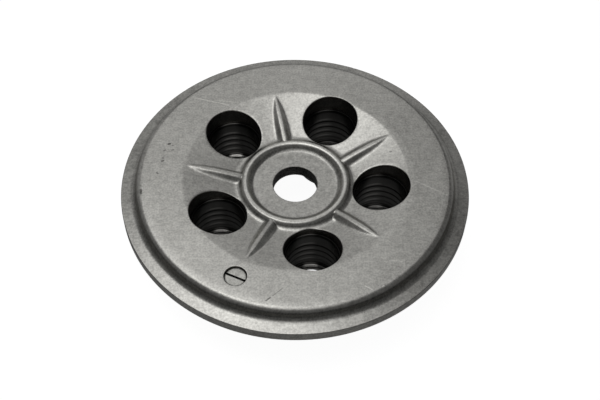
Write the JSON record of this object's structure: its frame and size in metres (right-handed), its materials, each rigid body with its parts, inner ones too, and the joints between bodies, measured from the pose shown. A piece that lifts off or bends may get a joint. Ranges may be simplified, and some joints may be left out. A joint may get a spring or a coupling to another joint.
{
  "type": "clutch pressure plate",
  "caption": "Round cast clutch pressure plate: stepped rim with a flat friction face, dished star-ribbed centre, bored hub, deep bosses with steel spring cups and a slotted plug.",
  "frame": {"origin": "on the plate's axis, in the plane of the ends of the spring bosses, on which the plate stands", "axes": "+Z along the axis out of the outer face; the plug lies 245.5 degrees round from +X, and the first pocket opposite it"},
  "size_m": [0.148, 0.148, 0.032],
  "materials": {
    "cast_aluminium": "satin, machined from a die casting",
    "cup_steel": "dark oiled steel with turning marks",
    "plug_aluminium": "satin"
  },
  "bodies": {
    "root": {"pressure_plate": "cast_aluminium", "spring_cup_1": "cup_steel", "spring_cup_2": "cup_steel", "spring_cup_3": "cup_steel", "spring_cup_4": "cup_steel", "spring_cup_5": "cup_steel", "slotted_plug": "plug_aluminium"}
  },
  "joints": []
}
